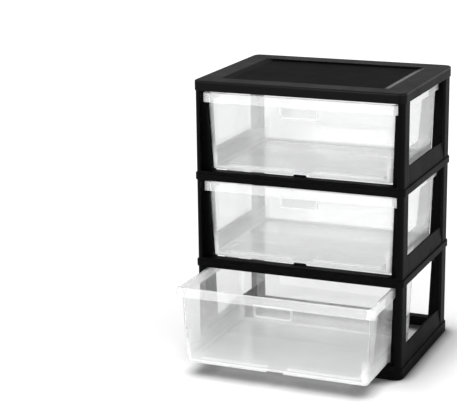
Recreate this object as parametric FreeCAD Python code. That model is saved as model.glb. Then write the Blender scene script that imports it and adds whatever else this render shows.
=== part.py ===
import FreeCAD, Part
import math
import os

# Drawer tower: three moulded tier frames stacked under a top panel, each with one hanging drawer.
# Millimetres. X is to the right, Y to the back and Z up.
# The origin is on the floor, at the centre of the tower's footprint.

Vector = FreeCAD.Vector

# Tower
tower_width = 322.0
tower_depth = 247.0
tier_pitch = 133.0
base_drop = 6.0
wall = 2.4

# Lip round the bottom of each tier frame
lip_height = 10.0
lip_proud = 2.0
lip_corner_radius = 12.0
lip_edge_chamfer = 0.8

# Posts: an outer column, and a guide beside it that leans with the drawer
column_width = 8.6
column_depth = 33.5
column_back_round_share = 0.7
guide_depth = 21.5
guide_width = 15.5
rim_clearance = 4.7
ear_slot_depth = 10.2
shoulder_width = 2.2
side_draft_angle = 2.4
front_draft_angle = 2.7

# Stacking spigots and the web that each one hangs from
spigot_length = 5.6
spigot_gap = 0.3
spigot_chamfer = 0.8

# Side rails, which flare out towards the lip
side_rail_height = 36.0
side_rail_top_inset = 3.6
side_rail_low_inset = 0.4

# Front and back rails: a channel with its open side down
rail_height = 14.0
rail_edge_radius = 1.5
rail_skirt_height = 9.0
rib_thickness = 1.6
rib_height = 4.0
rib_spacing = 48.0

# Bump that keeps a closed drawer shut
bump_width = 22.0
bump_depth = 3.0
bump_height = 2.4
bump_radius = 1.2
bump_gap = 0.8

# Top panel
panel_height = 15.0
panel_inset = 0.5
panel_edge_radius = 2.5
recess_width = 257.0
recess_depth = 2.6
recess_length = 180.0
recess_forward = 2.0
recess_ramp_width = 11.5
recess_wall_slope = 0.9
recess_corner_radius = 5.0
panel_rib_height = 7.0
panel_rib_spacing = 62.0

# Drawer
drawer_wall = 1.8
drawer_side_gap = 1.0
drawer_front_set_back = 0.4
drawer_bottom_gap = 0.5
drawer_length = 215.5
drawer_corner_radius = 7.0
drawer_plan_taper = 1.3
slide_gap = 0.3
rim_height = 13.7
rim_reach = 3.7
rim_band_proud = 1.3
rim_back_reach = 3.5
rim_edge_chamfer = 0.6
rim_corner_radius = 2.0
ear_gap = 1.2
ear_depth = 9.9
floor_thickness = 2.0
bottom_edge_chamfer = 0.8
floor_edge_chamfer = 1.4
floor_panel_inset = 14.0
floor_panel_rise = 2.6
floor_panel_slope = 2.4
floor_panel_radius = 6.0
relief_margin = 2.0

# Finger pull on the drawer's front
pull_width = 57.5
pull_height = 15.5
pull_proud = 3.4
pull_wall = 1.6
pull_corner_radius = 4.0

# How far the lowest drawer stands open
open_travel = 105.0

# One overrun for every cut that passes right through
overrun = 5.0

# Sizes that follow from those above
post_face_x = tower_width / 2 - lip_proud
post_face_y = tower_depth / 2 - lip_proud
post_corner_radius = lip_corner_radius - lip_proud
column_inner_x = post_face_x - column_width
column_back_y = post_face_y - column_depth
guide_half = post_face_x - guide_width
ledge_height = tier_pitch - rim_clearance - rim_height - slide_gap
guide_front_y = column_back_y + guide_depth
side_slope = math.tan(math.radians(side_draft_angle))
front_slope = math.tan(math.radians(front_draft_angle))
rim_bottom = ledge_height + slide_gap
rim_top = rim_bottom + rim_height
drawer_bottom = rail_height + drawer_bottom_gap
panel_bottom = base_drop + 3 * tier_pitch
plan_slope = drawer_plan_taper / drawer_length


def bay_half_width(height):
    """Half the clear width between the guides at a height above the tier's base."""
    return guide_half - (ledge_height - height) * side_slope


def bay_front(height):
    """How far the guides' front faces stand before the centre at that height."""
    return guide_front_y - (ledge_height - height) * front_slope


def rounded_wire(corners, radii):
    """A closed wire through the corners, each rounded by a tangent arc of its radius."""
    starts, ends, middles = [], [], []
    count = len(corners)
    for index, corner in enumerate(corners):
        to_last = (corners[index - 1] - corner).normalize()
        to_next = (corners[(index + 1) % count] - corner).normalize()
        half_angle = to_last.getAngle(to_next) / 2
        radius = radii[index]
        reach = radius / math.tan(half_angle)
        inward = to_last + to_next
        starts.append(corner + to_last * reach)
        ends.append(corner + to_next * reach)
        if radius > 0:
            inward.normalize()
            middles.append(corner + inward * (radius / math.sin(half_angle) - radius))
        else:
            middles.append(None)
    edges = []
    for index in range(count):
        if middles[index] is not None:
            edges.append(Part.Arc(starts[index], middles[index], ends[index]).toShape())
        edges.append(Part.makeLine(ends[index], starts[(index + 1) % count]))
    return Part.Wire(edges)


def box(low, high):
    """A box between two opposite corners."""
    size = high - low
    return Part.makeBox(size.x, size.y, size.z, low)


def tapered_block(low_corners, high_corners):
    """A solid with flat sides between two outlines, each given anticlockwise from above."""
    low = low_corners + low_corners[:1]
    high = high_corners + high_corners[:1]
    faces = [Part.Face(Part.makePolygon(low[::-1])), Part.Face(Part.makePolygon(high))]
    for index in range(len(low_corners)):
        side = [low[index], low[index + 1], high[index + 1], high[index], low[index]]
        faces.append(Part.Face(Part.makePolygon(side)))
    shell = Part.Shell(faces)
    shell.sewShape()
    return Part.Solid(shell)


def plan_wire(front_half, back_half, front_y, back_y, radius, height):
    """A four-sided outline seen from above, symmetrical about the Y axis, with round corners."""
    corners = [
        Vector(-front_half, front_y, height),
        Vector(front_half, front_y, height),
        Vector(back_half, back_y, height),
        Vector(-back_half, back_y, height),
    ]
    return rounded_wire(corners, [radius] * 4)


def upright(half_x, half_y, radius, low, high):
    """An upright prism on a rounded rectangle centred on the Z axis."""
    wire = plan_wire(half_x, half_x, -half_y, half_y, radius, low)
    return Part.Face(wire).extrude(Vector(0, 0, high - low))


def edges_at(shape, height):
    """The edges of a shape that lie flat at a height."""
    tolerance = shape.BoundBox.DiagonalLength * 1e-6
    found = []
    for edge in shape.Edges:
        bounds = edge.BoundBox
        if abs(bounds.ZMin - height) < tolerance and abs(bounds.ZMax - height) < tolerance:
            found.append(edge)
    return found


def rising_edges(shape):
    """The edges of a shape that climb from one height to another."""
    tolerance = shape.BoundBox.DiagonalLength * 1e-6
    return [edge for edge in shape.Edges if edge.BoundBox.ZLength > tolerance]


def edges_above(shape, x, y):
    """The upright edges of a shape that stand over a point of the plan."""
    tolerance = shape.BoundBox.DiagonalLength * 1e-6
    found = []
    for edge in shape.Edges:
        bounds = edge.BoundBox
        offset = Vector(bounds.Center.x - x, bounds.Center.y - y, 0)
        if offset.Length < tolerance and bounds.ZLength > tolerance:
            found.append(edge)
    return found


def profile_along_x(points, radii, half_length):
    """A profile in the YZ plane, carried along X to both sides of the centre."""
    corners = [Vector(-half_length, y, z) for y, z in points]
    return Part.Face(rounded_wire(corners, radii)).extrude(Vector(2 * half_length, 0, 0))


def profile_along_y(points, half_length):
    """A profile in the XZ plane, carried along Y to both sides of the centre."""
    corners = [Vector(x, -half_length, z) for x, z in points]
    wire = Part.makePolygon(corners + corners[:1])
    return Part.Face(wire).extrude(Vector(0, 2 * half_length, 0))


def left_and_right(shape):
    """A shape and its mirror image across the YZ plane."""
    return [shape, shape.mirror(Vector(0, 0, 0), Vector(1, 0, 0))]


def front_and_back(shape):
    """A shape and its mirror image across the XZ plane."""
    return [shape, shape.mirror(Vector(0, 0, 0), Vector(0, 1, 0))]


def four_corners(shape):
    """A shape of the front right corner, and its mirror images in the other three."""
    return [copy for side in left_and_right(shape) for copy in front_and_back(side)]


def column(inset, low, high):
    """The outer column of the front right post, drawn in by an inset all round."""
    tower = upright(post_face_x - inset, post_face_y - inset, post_corner_radius - inset, low, high)
    corner = box(
        Vector(column_inner_x + inset, -post_face_y, low),
        Vector(post_face_x, -column_back_y - inset, high),
    )
    post = tower.common(corner)
    radius = (column_width - 2 * inset) * column_back_round_share
    return post.makeFillet(radius, edges_above(post, post_face_x - inset, -column_back_y - inset))


def guide(inset, low, high):
    """The leaning guide of the front right post, drawn in by an inset all round."""
    outlines = []
    for height in (low, high):
        inner_x = bay_half_width(height) + inset
        outer_x = post_face_x - wall
        front_y = -bay_front(height) + inset
        back_y = -column_back_y - inset
        outlines.append([
            Vector(inner_x, front_y, height),
            Vector(outer_x, front_y, height),
            Vector(outer_x, back_y, height),
            Vector(inner_x, back_y, height),
        ])
    return tapered_block(*outlines)


def spigot(low, high):
    """The tongue under the front right corner that plugs into the hollow post below."""
    inset = wall + spigot_gap
    tongue = box(
        Vector(column_inner_x + inset, post_corner_radius - post_face_y, low),
        Vector(post_face_x - inset, -column_back_y - column_width + inset, high),
    )
    return tongue.makeChamfer(spigot_chamfer, edges_at(tongue, low))


def lip(low):
    """The flared band round the bottom of a tier frame, with the web that joins it to the rails."""
    half_x = tower_width / 2
    half_y = tower_depth / 2
    band = upright(half_x, half_y, lip_corner_radius, low, lip_height)
    band = band.makeChamfer(lip_edge_chamfer, edges_at(band, lip_height))
    hollow = upright(half_x - wall, half_y - wall, lip_corner_radius - wall, low, lip_height - wall)
    inset = lip_proud + wall
    middle = upright(half_x - inset, half_y - inset, lip_corner_radius - inset, low, lip_height)
    return band.cut(hollow).cut(middle)


def side_rail():
    """The right side rail, whose face flares out towards the lip."""
    low_x = post_face_x - side_rail_low_inset
    top_x = post_face_x - side_rail_top_inset
    web_bottom = lip_height - wall
    points = [
        (low_x, web_bottom),
        (low_x, lip_height),
        (top_x, side_rail_height),
        (top_x - wall, side_rail_height),
        (low_x - wall, lip_height),
        (low_x - wall, web_bottom),
    ]
    return profile_along_y(points, column_back_y + wall / 2)


def front_rail():
    """The front rail: a front wall, a flat top under the drawer and a short skirt behind."""
    front_y = -post_face_y
    back_y = -bay_front(rail_height)
    points = [
        (front_y, lip_height - wall),
        (front_y, rail_height),
        (back_y, rail_height),
        (back_y, rail_height - rail_skirt_height),
        (back_y - wall, rail_height - rail_skirt_height),
        (back_y - wall, rail_height - wall),
        (front_y + wall, rail_height - wall),
        (front_y + wall, lip_height - wall),
    ]
    radii = [0, rail_edge_radius, rail_edge_radius, 0, 0, 0, 0, 0]
    return profile_along_x(points, radii, column_inner_x + wall / 2)


def front_rail_ribs():
    """Cross ribs inside the front rail's channel."""
    count = 2 * int(guide_half / rib_spacing - rib_thickness / rib_spacing) + 1
    first = -(count - 1) / 2 * rib_spacing
    ribs = []
    for index in range(count):
        x = first + index * rib_spacing
        low = Vector(x - rib_thickness / 2, -post_face_y, rail_height - wall - rib_height)
        high = Vector(x + rib_thickness / 2, -bay_front(rail_height) - wall / 2, rail_height - wall / 2)
        ribs.append(box(low, high))
    return ribs


def bump():
    """The low bump on the front rail, just before the closed drawer."""
    back_y = -bay_front(drawer_bottom) + drawer_front_set_back - bump_gap
    top = rail_height + bump_height
    corners = [
        Vector(-bump_width / 2, back_y, rail_height - wall / 2),
        Vector(bump_width / 2, back_y, rail_height - wall / 2),
        Vector(bump_width / 2 - bump_height, back_y, top),
        Vector(bump_height - bump_width / 2, back_y, top),
    ]
    wire = rounded_wire(corners, [0, 0, bump_radius, bump_radius])
    return Part.Face(wire).extrude(Vector(0, -bump_depth, 0))


def shoulder():
    """The inward step of the front right post that an ear of the drawer stops against."""
    low = Vector(column_inner_x - shoulder_width, ear_slot_depth - guide_front_y, ledge_height - wall)
    high = Vector(column_inner_x + wall / 2, -column_back_y, tier_pitch)
    return box(low, high)


def tier_frame(is_base):
    """One moulded tier: lip, rails and four hollow posts, standing on z = 0."""
    drop = base_drop if is_base else 0.0
    solids = [lip(-drop)]
    solids += left_and_right(side_rail())
    solids += front_and_back(front_rail())
    for rib in front_rail_ribs():
        solids += front_and_back(rib)
    solids += four_corners(column(0, -drop, tier_pitch))
    solids += four_corners(guide(0, -drop, ledge_height))
    solids += four_corners(shoulder())
    solids.append(bump())
    frame = solids[0].fuse(solids[1:]).removeSplitter()
    hollows = four_corners(column(wall, wall - drop, tier_pitch + overrun))
    hollows += four_corners(guide(wall, -drop - overrun, ledge_height - wall))
    frame = frame.cut(hollows)
    if not is_base:
        frame = frame.fuse(four_corners(spigot(-spigot_length, wall / 2)))
    return frame.removeSplitter()


def recess(margin, low, high):
    """The top panel's shallow tray: ramps at the sides, steep walls at the front and back."""
    wires = []
    for height, ramp, slope in ((low, recess_ramp_width, recess_wall_slope), (high, 0, 0)):
        half_x = recess_width / 2 + margin - ramp
        front_y = -recess_length / 2 - recess_forward - margin + slope
        back_y = recess_length / 2 - recess_forward + margin - slope
        wires.append(plan_wire(half_x, half_x, front_y, back_y, recess_corner_radius, height))
    return Part.makeLoft(wires, True, True)


def top_panel_ribs(low, high):
    """Stiffening ribs under the top panel, in both directions."""
    reach_x = post_face_x
    reach_y = post_face_y
    half = rib_thickness / 2
    ribs = []
    for step in (-1.5, -0.5, 0.5, 1.5):
        x = step * panel_rib_spacing
        ribs.append(box(Vector(x - half, -reach_y, low), Vector(x + half, reach_y, high)))
    for step in (-1, 0, 1):
        y = step * panel_rib_spacing
        ribs.append(box(Vector(-reach_x, y - half, low), Vector(reach_x, y + half, high)))
    return ribs


def top_panel():
    """The cover: a thin shell with a tray in its top, ribs below and four corner spigots."""
    half_x = tower_width / 2 - panel_inset
    half_y = tower_depth / 2 - panel_inset
    top = panel_height
    plate_bottom = top - wall
    cover = upright(half_x, half_y, lip_corner_radius, 0, top)
    cover = cover.makeFillet(panel_edge_radius, edges_at(cover, top))
    hollow = upright(half_x - wall, half_y - wall, lip_corner_radius - wall, -overrun, plate_bottom)
    cover = cover.cut(hollow)
    solids = [recess(wall, plate_bottom - recess_depth, plate_bottom + wall / 2)]
    solids += top_panel_ribs(plate_bottom - panel_rib_height, plate_bottom + wall / 2)
    solids += four_corners(column(0, 0, plate_bottom + wall / 2))
    cover = cover.fuse(solids)
    cover = cover.cut(recess(0, top - recess_depth, top))
    cover = cover.fuse(four_corners(spigot(-spigot_length, wall / 2)))
    return cover.removeSplitter()


def drawer_half_width(height, y):
    """Half the drawer's width outside at a height, a little less towards its back."""
    return bay_half_width(height) - drawer_side_gap - (y + bay_front(rim_top)) * plan_slope


def drawer_block(inset, low, high):
    """The drawer's tapered form before its corners are rounded, drawn in by an inset all round."""
    outlines = []
    for height in (low, high):
        front_y = -bay_front(height) + drawer_front_set_back + inset
        back_y = drawer_length - bay_front(rim_top) - (rim_top - height) * front_slope - inset
        front_half = drawer_half_width(height, front_y) - inset
        back_half = drawer_half_width(height, back_y) - inset
        outlines.append([
            Vector(-front_half, front_y, height),
            Vector(front_half, front_y, height),
            Vector(back_half, back_y, height),
            Vector(-back_half, back_y, height),
        ])
    return tapered_block(*outlines)


def drawer_outside(high):
    """The outside of the tub: round upright corners and a small chamfer round its bottom."""
    block = drawer_block(0, drawer_bottom, high)
    block = block.makeFillet(drawer_corner_radius, rising_edges(block))
    return block.makeChamfer(bottom_edge_chamfer, edges_at(block, drawer_bottom))


def drawer_inside(floor_top, high):
    """The space in the tub: round upright corners, and a narrow slope where the walls meet the floor."""
    block = drawer_block(drawer_wall, floor_top, high)
    block = block.makeFillet(drawer_corner_radius - drawer_wall, rising_edges(block))
    return block.makeChamfer(floor_edge_chamfer, edges_at(block, floor_top))


def rim_prism(inset, low, high):
    """The rim's outline with its two front ears, drawn in by an inset and set upright."""
    front_y = -bay_front(rim_bottom) + drawer_front_set_back - rim_band_proud
    back_y = drawer_length - bay_front(rim_top) + rim_back_reach
    ear_half = column_inner_x - ear_gap
    ear_back = front_y + ear_depth - inset
    reach = rim_reach - inset
    points = [
        (ear_half - inset, front_y + inset),
        (ear_half - inset, ear_back),
        (drawer_half_width(rim_top, ear_back) + reach, ear_back),
        (drawer_half_width(rim_top, back_y) + reach, back_y - inset),
    ]
    right = [Vector(x, y, low) for x, y in points]
    left = [Vector(-point.x, point.y, low) for point in reversed(right)]
    radii = [rim_corner_radius, 0, 0, rim_corner_radius]
    wire = rounded_wire(right + left, radii + radii[::-1])
    return Part.Face(wire).extrude(Vector(0, 0, high - low))


def floor_panel(inset, low, high):
    """The raised middle of the drawer's floor, with sloping edges."""
    wires = []
    for height, slope in ((low, 0), (high, floor_panel_slope)):
        margin = floor_panel_inset + inset + slope
        front_y = -bay_front(drawer_bottom) + margin
        back_y = drawer_length - bay_front(rim_top) - (rim_top - drawer_bottom) * front_slope - margin
        front_half = drawer_half_width(drawer_bottom, front_y) - margin
        back_half = drawer_half_width(drawer_bottom, back_y) - margin
        wires.append(plan_wire(front_half, back_half, front_y, back_y, floor_panel_radius, height))
    return Part.makeLoft(wires, True, True)


def bump_relief(margin, front_y, low, high):
    """The channel under the floor's front edge that passes over the bump."""
    half = bump_width / 2 + margin
    back_y = -bay_front(drawer_bottom) + floor_panel_inset + floor_panel_slope + margin
    return box(Vector(-half, front_y, low), Vector(half, back_y, high))


def finger_pull():
    """A hooked tab below the rim, open at its bottom, with a hollow behind its face."""
    bottom = rim_bottom - pull_height
    front_y = -bay_front(bottom) + drawer_front_set_back - pull_proud
    wall_y = -bay_front(bottom) + drawer_front_set_back + drawer_wall / 2
    half = pull_width / 2
    top = rim_bottom + pull_wall
    shapes = []
    for inset, low, face_y in ((0, bottom, front_y), (pull_wall, bottom - overrun, front_y + pull_wall)):
        corners = [
            Vector(inset - half, face_y, top - inset),
            Vector(inset - half, face_y, low),
            Vector(half - inset, face_y, low),
            Vector(half - inset, face_y, top - inset),
        ]
        radii = [0, pull_corner_radius, pull_corner_radius, 0]
        face = Part.Face(rounded_wire(corners, radii))
        shapes.append(face.extrude(Vector(0, wall_y - face_y, 0)))
    return shapes[0].cut(shapes[1])


def drawer():
    """One clear drawer: tub, inverted channel rim with ears, raised floor and finger pull."""
    floor_top = drawer_bottom + floor_thickness
    rise = floor_panel_rise
    tub = drawer_outside(rim_top)
    space = drawer_inside(floor_top, rim_top + overrun)
    rim = rim_prism(0, rim_bottom, rim_top)
    rim = rim.makeChamfer(rim_edge_chamfer, edges_at(rim, rim_top))
    rim = rim.cut(rim_prism(drawer_wall, rim_bottom - overrun, rim_top - drawer_wall))
    pull = finger_pull().cut(drawer_block(drawer_wall / 2, drawer_bottom, rim_top))
    relief_front = -bay_front(drawer_bottom) + drawer_front_set_back
    body = tub.fuse([rim, pull]).cut(space)
    body = body.fuse([
        floor_panel(0, floor_top - floor_thickness / 2, floor_top + rise),
        bump_relief(drawer_wall + relief_margin, relief_front + drawer_wall / 2, drawer_bottom, floor_top + rise),
    ])
    under = drawer_bottom + rise
    body = body.cut([
        floor_panel(floor_thickness, drawer_bottom - overrun, under),
        bump_relief(relief_margin, relief_front - overrun, drawer_bottom - overrun, under),
    ])
    return body.removeSplitter()


def export(shape, name, lift, forward):
    """Move a shape into place and write it as one node."""
    placed = shape.copy()
    placed.translate(Vector(0, -forward, lift))
    placed.exportStep("parts/" + name + ".step")
    print(name, "solids", len(placed.Solids), "valid", placed.isValid(), "volume", round(placed.Volume))


os.makedirs("parts", exist_ok=True)
base_frame = tier_frame(True)
upper_frame = tier_frame(False)
clear_drawer = drawer()
for index, place in enumerate(("bottom", "middle", "top")):
    lift = base_drop + index * tier_pitch
    frame = base_frame if index == 0 else upper_frame
    forward = open_travel if index == 0 else 0.0
    export(frame, "tier_frame_" + place, lift, 0)
    export(clear_drawer, "drawer_" + place, lift, forward)
export(top_panel(), "top_panel", panel_bottom, 0)
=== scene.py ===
import math

import bpy
from mathutils import Matrix, Vector

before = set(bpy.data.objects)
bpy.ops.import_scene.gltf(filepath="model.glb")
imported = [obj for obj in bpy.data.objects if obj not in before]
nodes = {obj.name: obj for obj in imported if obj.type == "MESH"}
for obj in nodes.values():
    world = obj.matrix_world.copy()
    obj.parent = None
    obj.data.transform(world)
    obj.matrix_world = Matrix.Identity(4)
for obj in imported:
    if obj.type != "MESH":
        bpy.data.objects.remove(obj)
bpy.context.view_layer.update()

scene = bpy.context.scene


def grey(level):
    return (level, level, level, 1)


# Lengths are metres. X runs to the right, Y to the back and Z up from the floor.

# Camera: its angles are degrees, its focal length is in the pixels of a picture, and its sensor is in mm
CAMERA_PLACE = (0.7759, -2.1629, 0.8285)
CAMERA_AZIMUTH, CAMERA_PITCH, CAMERA_ROLL = 23.36, 14.736, -0.742
FOCAL_PIXELS, PICTURE_WIDTH, SENSOR_WIDTH = 1569.4, 457, 36.0
CLIP_NEAR, CLIP_FAR = 0.05, 60

# Cover: its top, the tray's floor, and where that floor meets the tray's front and back walls, along which
# lines of shade are painted
PANEL_TOP = 0.420
TRAY_HALF_WIDTH, TRAY_HALF_DEPTH, TRAY_CENTRE = 0.117, 0.0891, -0.002
TRAY_FRONT_LINE, TRAY_BACK_LINE = -0.0917, 0.0873
FRONT_LINE_HALF, BACK_LINE_HALF = 0.0010, 0.0014
LINE_OVERHANG = 0.006
MIDDLE_FROM_TO = -0.05, 0.05

# Depths below the cover's top, first where a mask is 0 and then where it is 1
NEAR_TOP, BELOW_BORDER, IN_TRAY = (0.0040, 0.0015), (0.0001, 0.0004), (0.0018, 0.0022)
ABOVE_UNDERSIDE, ABOVE_LINE_FOOT = (0.0040, 0.0034), (0.0045, 0.0035)

# Drawers: the heights of the rim, the pull and the floor are above the foot of their tier
BASE_DROP, TIER_PITCH = 0.006, 0.133
OPEN_TRAVEL, FRONT_ZONE = 0.105, -0.085
RIM_MIDDLE, RIM_HALF = 0.12145, 0.0070
PULL_HALF, PULL_MIDDLE, PULL_HALF_HEIGHT = 0.0268, 0.1075, 0.0060
SIDE_WALL_FROM_TO = 0.1290, 0.1320
FOOT_FROM_TO = 0.056, 0.026
FLOOR_FROM_TO = 0.0205, 0.0190

# Both plastics: the values between which noise mostly lies, and how a worn edge is found
NOISE_RANGE = 0.3, 0.7
EDGE_COSINES, EDGE_SAMPLES = (0.995, 0.8), 6

# Black plastic: tones are base colours, glosses are specular levels, grains are shares of the bump
FRAME_GRAIN, FRAME_TONE, FRAME_GLOSS = 0.9, 0.0010, 0.034
PANEL_GRAIN, PANEL_TONE, PANEL_GLOSS = 1.2, 0.0020, 0.052
BLACK_EDGE_RADIUS = 0.0011
BLACK_ROUGHNESS = 0.46, 0.55
BLACK_BUMP_DEPTH, BLACK_BUMP_STRENGTH, FLOW_IN_BUMP = 0.00006, 0.6, 0.8
DUST_COLOUR, DUST_SHARE, DUST_ROUGHER = (0.04, 0.04, 0.042, 1), 0.09, 0.10
DUST_PALES, DUST_ROUGHENS = (0.58, 0.85), (0.5, 0.85)
RUBBED_COLOUR, RUBBED_SHARE, RUBBED_SMOOTHER = (0.035, 0.035, 0.037, 1), 0.35, 0.10
WORN = 0.42, 0.62
BORDER_COLOUR, BORDER_SHARE = (0.05, 0.05, 0.052, 1), 0.20
# The painted shade along the tray's front and back edges: its colour, and how much rougher it is there
PAINTED_SHADE_COLOUR, LINE_ROUGHER = grey(0.0008), 0.5
TRAY_ROUGHER = 0.22
LEFT_RAMP_SMOOTHER, RIGHT_RAMP_SMOOTHER = -0.25, 0.26

# Clear plastic: the milk is the share of white in it
CLEAR_COLOURS = (0.962, 0.964, 0.966, 1), (0.974, 0.976, 0.978, 1)
CLEAR_EDGE_RADIUS = 0.0015
CLEAR_ROUGHNESS = 0.03, 0.07
CLEAR_BUMP_DEPTH, CLEAR_BUMP_STRENGTH = 0.00012, 0.4
CLEAR_INDEX = 1.40
MILK, MILK_CLOUDING = 0.085, 0.02
RIM_MILK, EDGE_MILK, FOOT_MILK, PULL_CLEARER = 0.19, 0.55, 0.34, 0.065
SCUFFED, SCUFF_MILK, SCUFF_ROUGHER = (0.62, 0.85), 0.08, 0.07
SOLID, BLOCKED = 0.88, 0.05

# Floor and world: levels of white for what they light, what is seen and what is seen through the drawers
FLOOR_HALF = 30.0
FLOOR_LIT, FLOOR_SEEN, FLOOR_SEEN_THROUGH = 0.82, 1.04, 0.94
FAR_SEEN, SEEN_THROUGH = 1.16, 0.96
FAR_FROM_TO = 0.38, 0.75
# Painted shade on the floor close to the tower: how far the occlusion reaches, and which openness gives which
# level
SHADE_REACH, SHADE_SAMPLES = 0.030, 16
SHADE_OPENNESS, SHADE_LEVELS = (0.50, 0.92), (0.15, 1.0)
AMBIENT = 0.68
MIRRORED_HEIGHTS, MIRRORED_LEVELS = (0.05, 0.45), (1.0, 0.42)

# Lamps: name, width, height, watts, place and aim
LAMPS = (
    ("soft_box_above", 0.30, 0.30, 17, (-0.07, 0.05, 2.65), (0, 0, 0.0)),
    ("soft_box_front", 1.6, 0.8, 42, (-0.7, -2.6, 0.85), (0, 0, 0.2)),
    ("soft_box_right", 1.2, 0.8, 26, (2.6, -0.9, 0.50), (0, 0, 0.2)),
)

# Light passes many clear walls before it reaches the back of a drawer
THROUGH_BOUNCES, ALL_BOUNCES = 48, 24


def place_camera():
    """A long lens in front of the tower and to its right, looking down on it, with a slight roll."""
    azimuth, pitch, roll = (math.radians(v) for v in (CAMERA_AZIMUTH, CAMERA_PITCH, CAMERA_ROLL))
    ahead = math.cos(pitch)
    forward = Vector((-math.sin(azimuth) * ahead, math.cos(azimuth) * ahead, -math.sin(pitch)))
    level = Vector((math.cos(azimuth), math.sin(azimuth), 0))
    upward = level.cross(forward)
    right = level * math.cos(roll) + upward * math.sin(roll)
    top = upward * math.cos(roll) - level * math.sin(roll)
    data = bpy.data.cameras.new("camera")
    data.sensor_width = SENSOR_WIDTH
    data.lens = FOCAL_PIXELS / PICTURE_WIDTH * SENSOR_WIDTH
    data.clip_start, data.clip_end = CLIP_NEAR, CLIP_FAR
    camera = bpy.data.objects.new("camera", data)
    turn = Matrix((right, top, -forward)).transposed().to_4x4()
    camera.matrix_world = Matrix.Translation(CAMERA_PLACE) @ turn
    scene.collection.objects.link(camera)
    scene.camera = camera


class Recipe:
    """A node tree under construction. Its methods take numbers and sockets alike and give sockets back."""

    def __init__(self, tree):
        self.tree = tree

    def add(self, kind, **settings):
        node = self.tree.nodes.new(kind)
        for key, value in settings.items():
            setattr(node, key, value)
        return node

    def join(self, source, target):
        self.tree.links.new(source, target)

    def put(self, socket, value):
        if hasattr(value, "is_linked"):
            self.join(value, socket)
        else:
            socket.default_value = value

    def maths(self, operation, first, second=0.0, clamp=False):
        node = self.add("ShaderNodeMath", operation=operation, use_clamp=clamp)
        for socket, value in zip(node.inputs, (first, second)):
            self.put(socket, value)
        return node.outputs[0]

    def plus(self, first, second, clamp=False):
        return self.maths("ADD", first, second, clamp)

    def minus(self, first, second):
        return self.maths("SUBTRACT", first, second)

    def times(self, first, second):
        return self.maths("MULTIPLY", first, second)

    def between(self, value, low, high, start=0.0, end=1.0, curve="LINEAR"):
        """A value that runs from low to high, carried over to start and end."""
        node = self.add("ShaderNodeMapRange", interpolation_type=curve)
        sockets = ("Value", "From Min", "From Max", "To Min", "To Max")
        for name, number in zip(sockets, (value, low, high, start, end)):
            self.put(node.inputs[name], number)
        return node.outputs["Result"]

    def within(self, value, centre, half, soft):
        """1 where a coordinate is nearer to a centre than half a width, 0 outside, with a soft edge."""
        away = self.maths("ABSOLUTE", self.minus(value, centre))
        return self.between(away, half - soft, half + soft, 1.0, 0.0, "SMOOTHSTEP")

    def axes(self, vector):
        """The X, Y and Z of a vector."""
        node = self.add("ShaderNodeSeparateXYZ")
        self.join(vector, node.inputs["Vector"])
        return node.outputs


class Finish(Recipe):
    """The recipe of a material, with the object's own coordinates and the Principled shader at hand."""

    def __init__(self, name):
        self.material = bpy.data.materials.new(name)
        self.material.use_nodes = True
        super().__init__(self.material.node_tree)
        self.shader = self.tree.nodes["Principled BSDF"]
        self.place = self.add("ShaderNodeTexCoord").outputs["Object"]

    def stretched(self, scale, turn=(0, 0, 0)):
        """Object coordinates stretched along each axis."""
        node = self.add("ShaderNodeMapping")
        node.inputs["Scale"].default_value = scale
        node.inputs["Rotation"].default_value = turn
        self.join(self.place, node.inputs["Vector"])
        return node.outputs["Vector"]

    def noise(self, size, detail, where=None, rough=0.5):
        """Soft noise whose lumps are about one size across, in metres."""
        node = self.add("ShaderNodeTexNoise")
        node.inputs["Scale"].default_value = 1.0 / size
        node.inputs["Detail"].default_value = detail
        node.inputs["Roughness"].default_value = rough
        self.join(where or self.place, node.inputs["Vector"])
        return node.outputs["Fac"]

    def blend(self, share, first, second):
        """One colour at a share of 0 and another at 1."""
        node = self.add("ShaderNodeMix", data_type="RGBA")
        self.put(node.inputs["Factor"], share)
        self.put(node.inputs[6], first)
        self.put(node.inputs[7], second)
        return node.outputs[2]

    def bump(self, height, depth, strength, normal=None):
        node = self.add("ShaderNodeBump")
        node.inputs["Distance"].default_value = depth
        node.inputs["Strength"].default_value = strength
        self.join(height, node.inputs["Height"])
        if normal is not None:
            self.join(normal, node.inputs["Normal"])
        return node.outputs["Normal"]

    def rounding(self, radius):
        """The normal of an edge broken to a radius, and how near a place is to such an edge."""
        bevel = self.add("ShaderNodeBevel", samples=EDGE_SAMPLES)
        bevel.inputs["Radius"].default_value = radius
        geometry = self.add("ShaderNodeNewGeometry")
        dot = self.add("ShaderNodeVectorMath", operation="DOT_PRODUCT")
        self.join(bevel.outputs["Normal"], dot.inputs[0])
        self.join(geometry.outputs["Normal"], dot.inputs[1])
        edge = self.between(dot.outputs["Value"], *EDGE_COSINES)
        return bevel.outputs["Normal"], edge

    def shine(self, body, rough):
        """Gives the shader its base colour and roughness."""
        self.join(rough, self.shader.inputs["Roughness"])
        self.join(body, self.shader.inputs["Base Color"])


def give(material, *names):
    for name in names:
        for slot in nodes[name].material_slots:
            slot.material = material


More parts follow.
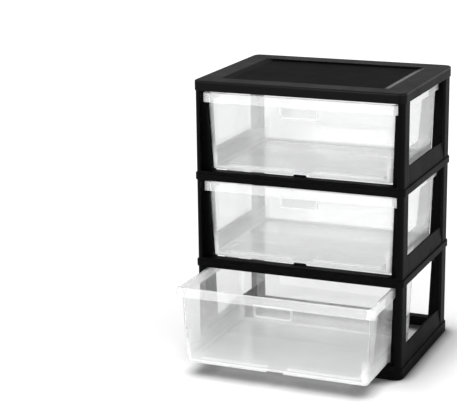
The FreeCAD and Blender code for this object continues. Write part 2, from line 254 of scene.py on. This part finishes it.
def black_satin(name, grain, tone, gloss):
    """Black polypropylene: fine mould grain, soft flow marks, a little dust and edges rubbed lighter."""
    mix = Finish(name)
    soft_normal, edge = mix.rounding(BLACK_EDGE_RADIUS)
    flow = mix.noise(size=0.055, detail=3.0, where=mix.stretched((1.0, 1.0, 0.45)))
    fine = mix.noise(size=0.0011, detail=2.0)
    dust = mix.noise(size=0.012, detail=5.0, rough=0.7)
    rubbed = mix.times(edge, mix.between(mix.noise(size=0.009, detail=4.0, rough=0.65), *WORN))
    darker, paler = (tone, tone, 1.08 * tone, 1), (1.7 * tone, 1.7 * tone, 1.85 * tone, 1)
    body = mix.blend(flow, darker, paler)
    body = mix.blend(mix.between(dust, *DUST_PALES, 0.0, DUST_SHARE), body, DUST_COLOUR)
    body = mix.blend(mix.times(rubbed, RUBBED_SHARE), body, RUBBED_COLOUR)
    rough = mix.between(flow, *NOISE_RANGE, *BLACK_ROUGHNESS)
    rough = mix.plus(rough, mix.between(dust, *DUST_ROUGHENS, 0.0, DUST_ROUGHER))
    rough = mix.minus(rough, mix.times(rubbed, RUBBED_SMOOTHER))
    mix.shine(body, rough)
    mix.shader.inputs["Specular IOR Level"].default_value = gloss
    height = mix.plus(mix.times(fine, grain), mix.times(flow, FLOW_IN_BUMP))
    bumps = mix.bump(height, BLACK_BUMP_DEPTH, BLACK_BUMP_STRENGTH, soft_normal)
    mix.join(bumps, mix.shader.inputs["Normal"])
    return mix, body, rough


def frame_finish():
    return black_satin("black_satin_frame", FRAME_GRAIN, FRAME_TONE, FRAME_GLOSS)[0].material


def panel_finish():
    """The cover: a paler border, a coarser tray between a coarser left ramp and a smoother right one, and a
    line of painted shade where the tray's floor meets its front and its back wall."""
    mix, body, rough = black_satin("black_satin_panel", PANEL_GRAIN, PANEL_TONE, PANEL_GLOSS)
    x, y, z = mix.axes(mix.place)

    def below_top(none, full):
        """0 at one depth below the cover's top and 1 at another."""
        return mix.between(z, PANEL_TOP - none, PANEL_TOP - full)

    top = below_top(*NEAR_TOP)
    deep = below_top(*IN_TRAY)
    across = mix.within(x, 0.0, TRAY_HALF_WIDTH, soft=0.0006)
    along = mix.within(y, TRAY_CENTRE, TRAY_HALF_DEPTH, soft=0.0006)
    floor = mix.times(across, along)
    floor = mix.times(floor, mix.times(deep, below_top(*ABOVE_UNDERSIDE)))
    low = below_top(*BELOW_BORDER)
    ramp = mix.times(mix.times(low, mix.minus(1.0, floor)), top)
    smoother = mix.between(x, *MIDDLE_FROM_TO, LEFT_RAMP_SMOOTHER, RIGHT_RAMP_SMOOTHER)
    rough = mix.plus(rough, mix.times(floor, TRAY_ROUGHER))
    rough = mix.minus(rough, mix.times(ramp, smoother))
    border = mix.times(top, mix.minus(1.0, floor))
    body = mix.blend(mix.times(border, BORDER_SHARE), body, BORDER_COLOUR)
    # Painted shade: dark lines drawn into the colour where the tray's floor meets its front and its back
    # wall, not cast by any lamp
    front_painted_shade = mix.within(y, TRAY_FRONT_LINE, FRONT_LINE_HALF, soft=0.0005)
    back_painted_shade = mix.within(y, TRAY_BACK_LINE, BACK_LINE_HALF, soft=0.0004)
    line = mix.plus(front_painted_shade, back_painted_shade)
    line = mix.times(line, mix.within(x, 0.0, TRAY_HALF_WIDTH + LINE_OVERHANG, soft=0.006))
    line = mix.times(line, below_top(*ABOVE_LINE_FOOT))
    body = mix.blend(line, body, PAINTED_SHADE_COLOUR)
    rough = mix.plus(rough, mix.times(line, LINE_ROUGHER), clamp=True)
    mix.shine(body, rough)
    return mix.material


def clear_milky():
    """Clear polypropylene: see-through walls with a little white in them, whiter in the rim, along the edges,
    in the floor and at the feet of the side walls, and clearer in the finger pull. Light passes it."""
    mix = Finish("clear_milky_drawer")
    edge = mix.rounding(CLEAR_EDGE_RADIUS)[1]
    cloud = mix.noise(size=0.05, detail=3.0)
    flow = mix.noise(size=0.03, detail=4.0, where=mix.stretched((0.25, 0.25, 1.6)))
    scratched = mix.stretched((0.3, 1.0, 1.0), turn=(0.2, 0.1, 0.5))
    scuffs = mix.noise(size=0.004, detail=5.0, where=scratched, rough=0.75)
    x, y, z = mix.axes(mix.place)
    height = mix.maths("FLOORED_MODULO", mix.minus(z, BASE_DROP), TIER_PITCH)
    rim = mix.within(height, RIM_MIDDLE, RIM_HALF, soft=0.0004)

    # The lowest drawer stands open, so its front lies farther forward than the others
    forward = mix.times(mix.maths("LESS_THAN", z, BASE_DROP + TIER_PITCH), OPEN_TRAVEL)
    front = mix.maths("LESS_THAN", mix.plus(y, forward), FRONT_ZONE)
    across = mix.within(x, 0.0, PULL_HALF, soft=0.0003)
    upright = mix.within(height, PULL_MIDDLE, PULL_HALF_HEIGHT, soft=0.0003)
    pull = mix.times(mix.times(across, upright), front)

    body = mix.blend(cloud, *CLEAR_COLOURS)
    rough = mix.between(flow, *NOISE_RANGE, *CLEAR_ROUGHNESS)
    rough = mix.plus(rough, mix.between(scuffs, *SCUFFED, 0.0, SCUFF_ROUGHER))
    mix.shine(body, rough)

    milk = mix.between(cloud, *NOISE_RANGE, MILK - MILK_CLOUDING, MILK + MILK_CLOUDING)
    milk = mix.plus(milk, mix.between(scuffs, *SCUFFED, 0.0, SCUFF_MILK))
    milk = mix.plus(milk, mix.times(rim, RIM_MILK))
    side = mix.between(mix.maths("ABSOLUTE", x), *SIDE_WALL_FROM_TO)
    foot = mix.times(side, mix.between(height, *FOOT_FROM_TO))
    foot = mix.maths("MAXIMUM", foot, mix.between(height, *FLOOR_FROM_TO))
    milk = mix.plus(milk, mix.times(foot, FOOT_MILK))
    milk = mix.minus(milk, mix.times(pull, PULL_CLEARER))
    milk = mix.plus(milk, mix.times(edge, EDGE_MILK), clamp=True)
    mix.join(mix.minus(1.0, milk), mix.shader.inputs["Transmission Weight"])

    rays = mix.add("ShaderNodeLightPath").outputs
    lamp = mix.maths("MAXIMUM", rays["Is Shadow Ray"], rays["Is Diffuse Ray"])
    mix.join(mix.between(lamp, 0.0, 1.0, SOLID, BLOCKED), mix.shader.inputs["Alpha"])
    mix.shader.inputs["IOR"].default_value = CLEAR_INDEX
    mix.join(mix.bump(flow, CLEAR_BUMP_DEPTH, CLEAR_BUMP_STRENGTH), mix.shader.inputs["Normal"])
    return mix.material


def pale_floor():
    """A wide white floor at the foot of the lowest tier, seen only from above: darkened close to the tower by
    painted shade from an occlusion node, on top of the lamps' shadows, and plain white far from it."""
    mesh = bpy.data.meshes.new("floor")
    corners = [(x * FLOOR_HALF, y * FLOOR_HALF, 0) for x, y in ((-1, -1), (1, -1), (1, 1), (-1, 1))]
    mesh.from_pydata(corners, [], [(0, 1, 2, 3)])
    floor = bpy.data.objects.new("floor", mesh)
    scene.collection.objects.link(floor)
    mix = Finish("white_floor")
    rays = mix.add("ShaderNodeLightPath").outputs
    through = rays["Is Transmission Ray"]
    seen = mix.maths("MAXIMUM", rays["Is Camera Ray"], rays["Is Glossy Ray"])
    seen = mix.maths("MAXIMUM", seen, through)

    # Painted shade: the floor's colour is darkened where the tower and drawers hide its surroundings, besides
    # the shadows the lamps cast
    close = mix.add("ShaderNodeAmbientOcclusion", samples=SHADE_SAMPLES)
    close.inputs["Distance"].default_value = SHADE_REACH
    shade = mix.between(close.outputs["AO"], *SHADE_OPENNESS, *SHADE_LEVELS)
    white = mix.blend(seen, grey(FLOOR_LIT), grey(FLOOR_SEEN))
    white = mix.blend(through, white, grey(FLOOR_SEEN_THROUGH))
    diffuse = mix.add("ShaderNodeBsdfDiffuse")
    mix.join(mix.blend(shade, grey(0), white), diffuse.inputs["Color"])

    away = mix.add("ShaderNodeVectorMath", operation="LENGTH")
    mix.join(mix.place, away.inputs[0])
    far = mix.between(away.outputs["Value"], *FAR_FROM_TO)
    plain = mix.add("ShaderNodeEmission")
    mix.join(mix.between(through, 0.0, 1.0, FAR_SEEN, SEEN_THROUGH), plain.inputs["Strength"])
    backdrop = mix.add("ShaderNodeMixShader")
    mix.join(mix.times(far, seen), backdrop.inputs["Fac"])
    mix.join(diffuse.outputs["BSDF"], backdrop.inputs[1])
    mix.join(plain.outputs["Emission"], backdrop.inputs[2])

    clear = mix.add("ShaderNodeBsdfTransparent")
    side = mix.add("ShaderNodeMixShader")
    mix.join(mix.add("ShaderNodeNewGeometry").outputs["Backfacing"], side.inputs["Fac"])
    mix.join(backdrop.outputs["Shader"], side.inputs[1])
    mix.join(clear.outputs["BSDF"], side.inputs[2])
    mix.join(side.outputs["Shader"], mix.tree.nodes["Material Output"].inputs["Surface"])
    mix.tree.nodes.remove(mix.shader)
    mesh.materials.append(mix.material)


def studio_world():
    """White all round for what is seen, a little dimmer for what is seen through the drawers, weaker for what
    it lights, and darker overhead for what is mirrored."""
    world = bpy.data.worlds.new("studio")
    scene.world = world
    world.use_nodes = True
    mix = Recipe(world.node_tree)
    rays = mix.add("ShaderNodeLightPath").outputs
    up = mix.axes(mix.add("ShaderNodeTexCoord").outputs["Generated"])["Z"]
    mirrored = mix.between(up, *MIRRORED_HEIGHTS, *MIRRORED_LEVELS)
    strength = mix.between(rays["Is Glossy Ray"], 0.0, 1.0, AMBIENT, mirrored)
    strength = mix.between(rays["Is Transmission Ray"], 0.0, 1.0, strength, SEEN_THROUGH)
    strength = mix.between(rays["Is Camera Ray"], 0.0, 1.0, strength, 1.0)
    background = mix.tree.nodes["Background"]
    background.inputs["Color"].default_value = grey(1)
    mix.join(strength, background.inputs["Strength"])


def soft_box(name, width, height, power, place, aim):
    data = bpy.data.lights.new(name, "AREA")
    data.shape = "RECTANGLE"
    data.size, data.size_y = width, height
    data.energy = power
    lamp = bpy.data.objects.new(name, data)
    lamp.location = place
    lamp.rotation_euler = (Vector(aim) - Vector(place)).to_track_quat("-Z", "Y").to_euler()
    scene.collection.objects.link(lamp)


place_camera()
studio_world()
pale_floor()
for lamp in LAMPS:
    soft_box(*lamp)

give(frame_finish(), "tier_frame_bottom", "tier_frame_middle", "tier_frame_top")
give(panel_finish(), "top_panel")
give(clear_milky(), "drawer_bottom", "drawer_middle", "drawer_top")

scene.cycles.transparent_max_bounces = THROUGH_BOUNCES
scene.cycles.max_bounces = ALL_BOUNCES
scene.cycles.transmission_bounces = ALL_BOUNCES
scene.cycles.caustics_refractive = False
scene.cycles.caustics_reflective = False
scene.view_settings.view_transform = "Standard"
